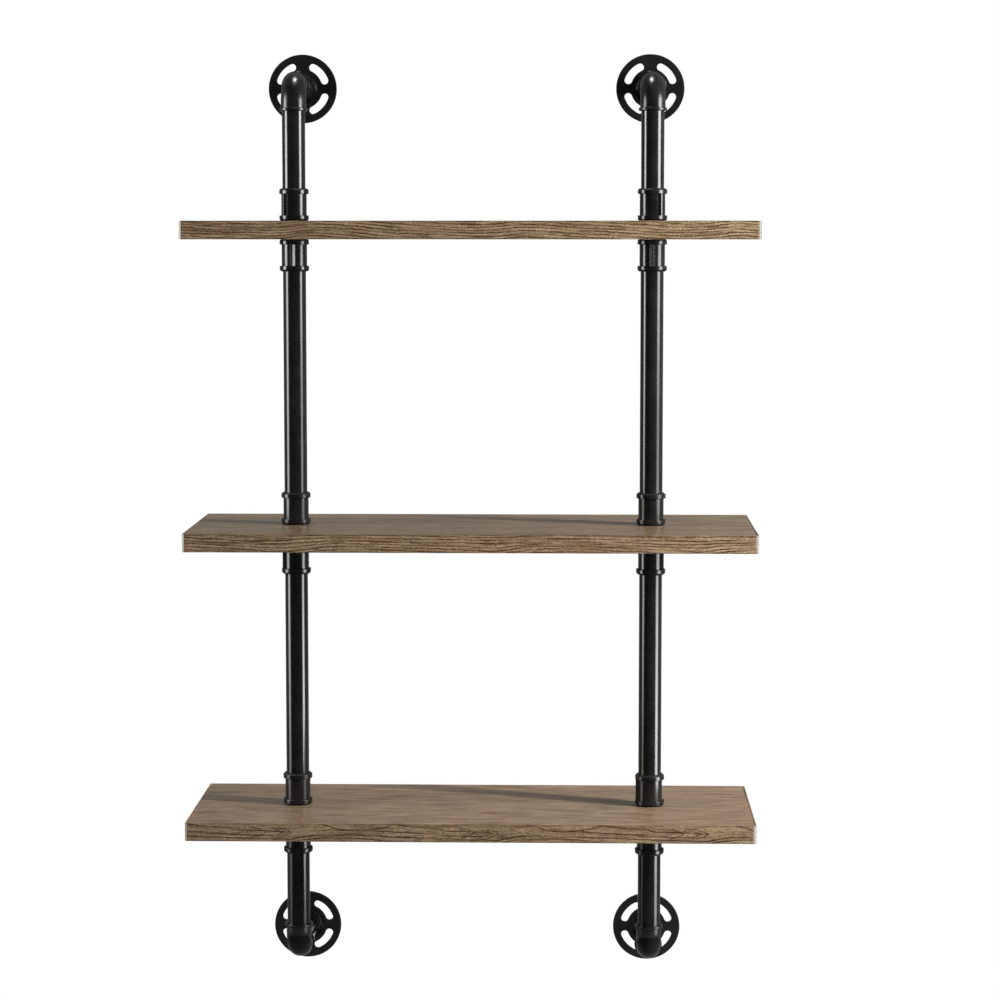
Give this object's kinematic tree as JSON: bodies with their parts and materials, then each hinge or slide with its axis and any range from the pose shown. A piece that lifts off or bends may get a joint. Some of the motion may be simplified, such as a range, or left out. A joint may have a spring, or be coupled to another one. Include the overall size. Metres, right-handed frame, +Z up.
{
  "type": "wall shelf",
  "caption": "Wall shelf with oak-look boards clamped on two black threaded pipe frames that stand off the wall on elbows and round flanges.",
  "frame": {"origin": "on the wall, in the middle of the rectangle of the four wall flanges", "axes": "+Z up along the pipes, +Y into the wall, +X along the boards to the viewer's right"},
  "size_m": [0.61, 0.221, 1.0264],
  "materials": {
    "board_face": "satin grey-brown oak laminate, grain along the board",
    "board_edge": "oak edge band with bold open grain",
    "board_end": "oak end band with rounded corners",
    "pipe": "black enamel, semi-gloss",
    "fitting": "black enamel on cast fittings, semi-gloss",
    "flange": "black enamel, satin",
    "nipple": "bare threaded steel"
  },
  "bodies": {
    "root": {"top_board_panel": "board_face", "top_board_front_band": "board_edge", "top_board_back_band": "board_edge", "top_board_left_end_band": "board_end", "top_board_right_end_band": "board_end", "middle_board_panel": "board_face", "middle_board_front_band": "board_edge", "middle_board_back_band": "board_edge", "middle_board_left_end_band": "board_end", "middle_board_right_end_band": "board_end", "bottom_board_panel": "board_face", "bottom_board_front_band": "board_edge", "bottom_board_back_band": "board_edge", "bottom_board_left_end_band": "board_end", "bottom_board_right_end_band": "board_end", "left_top_elbow": "fitting", "left_top_standoff_pipe": "pipe", "left_top_wall_flange": "flange", "left_bottom_elbow": "fitting", "left_bottom_standoff_pipe": "pipe", "left_bottom_wall_flange": "flange", "left_top_pipe": "pipe", "left_upper_bay_pipe": "pipe", "left_lower_bay_pipe": "pipe", "left_bottom_pipe": "pipe", "left_top_upper_coupling": "fitting", "left_top_lower_coupling": "fitting", "left_top_board_nipple": "nipple", "left_middle_upper_coupling": "fitting", "left_middle_lower_coupling": "fitting", "left_middle_board_nipple": "nipple", "left_bottom_upper_coupling": "fitting", "left_bottom_lower_coupling": "fitting", "left_bottom_board_nipple": "nipple", "right_top_elbow": "fitting", "right_top_standoff_pipe": "pipe", "right_top_wall_flange": "flange", "right_bottom_elbow": "fitting", "right_bottom_standoff_pipe": "pipe", "right_bottom_wall_flange": "flange", "right_top_pipe": "pipe", "right_upper_bay_pipe": "pipe", "right_lower_bay_pipe": "pipe", "right_bottom_pipe": "pipe", "right_top_upper_coupling": "fitting", "right_top_lower_coupling": "fitting", "right_top_board_nipple": "nipple", "right_middle_upper_coupling": "fitting", "right_middle_lower_coupling": "fitting", "right_middle_board_nipple": "nipple", "right_bottom_upper_coupling": "fitting", "right_bottom_lower_coupling": "fitting", "right_bottom_board_nipple": "nipple"}
  },
  "joints": []
}
